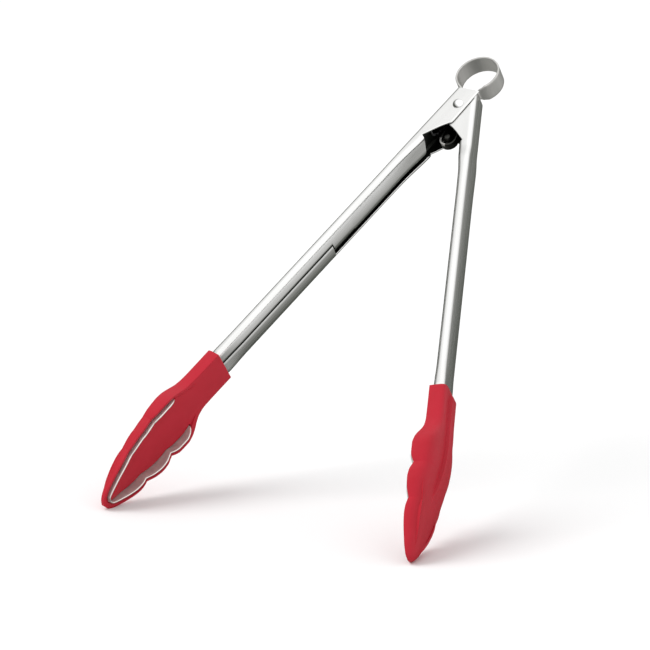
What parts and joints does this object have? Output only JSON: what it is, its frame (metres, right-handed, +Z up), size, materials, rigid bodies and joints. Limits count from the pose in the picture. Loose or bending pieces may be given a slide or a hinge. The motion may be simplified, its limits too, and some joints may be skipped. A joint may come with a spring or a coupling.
{
  "type": "kitchen tongs",
  "caption": "Sprung kitchen tongs: two folded steel arms on a riveted hinge, scalloped red silicone heads with steel scoop edges, and a pull ring lock.",
  "frame": {"origin": "middle of the footprint, on the floor under the leaning tongs", "axes": "+X from the left head to the right head, +Y back toward the hinge, +Z up"},
  "size_m": [0.1658, 0.2316, 0.1898],
  "materials": {
    "arm_steel": "satin stainless sheet",
    "strip_steel": "rolled stainless strip",
    "scoop_steel": "satin stainless edge",
    "rivet_steel": "plain steel",
    "spring_steel": "drawn wire",
    "polished_rivet": "polished",
    "red_silicone": "satin moulded silicone"
  },
  "bodies": {
    "left_side": {"arm_left": "arm_steel", "grip_left": "red_silicone", "scoop_left": "scoop_steel", "core_rivet_left_upper": "rivet_steel", "core_rivet_left_lower": "rivet_steel", "hinge_rivet": "polished_rivet", "rivet_washer": "rivet_steel"},
    "right_side": {"arm_right": "arm_steel", "grip_right": "red_silicone", "scoop_right": "scoop_steel", "core_rivet_right_upper": "rivet_steel", "core_rivet_right_lower": "rivet_steel"},
    "hinge_core": {"hinge_bush": "rivet_steel", "torsion_spring": "spring_steel"},
    "lock_strap": {"pull_ring": "strip_steel", "lock_pin": "rivet_steel"}
  },
  "joints": [
    {"name": "arm_hinge", "type": "hinge", "parent": "left_side", "child": "right_side", "pos_m": [0, 0.08564, 0.16416], "axis": [0, 0.6293, -0.7771], "range_deg": [0, 33.8], "stiffness_Nm_per_rad": 0.8, "springref_deg": -20.05, "deforming": ["torsion_spring"]},
    {"name": "spring_turn", "type": "hinge", "parent": "left_side", "child": "hinge_core", "pos_m": [0, 0.08564, 0.16416], "axis": [0, 0.6293, -0.7771], "range_deg": [0, 16.9]},
    {"name": "lock_slide", "type": "slide", "parent": "hinge_core", "child": "lock_strap", "axis": [0, 0.7771, 0.6293], "range_m": [0, 0.009]}
  ],
  "couplings": [
    {"joint": "spring_turn", "follows": "arm_hinge", "ratio": 0.5}
  ]
}
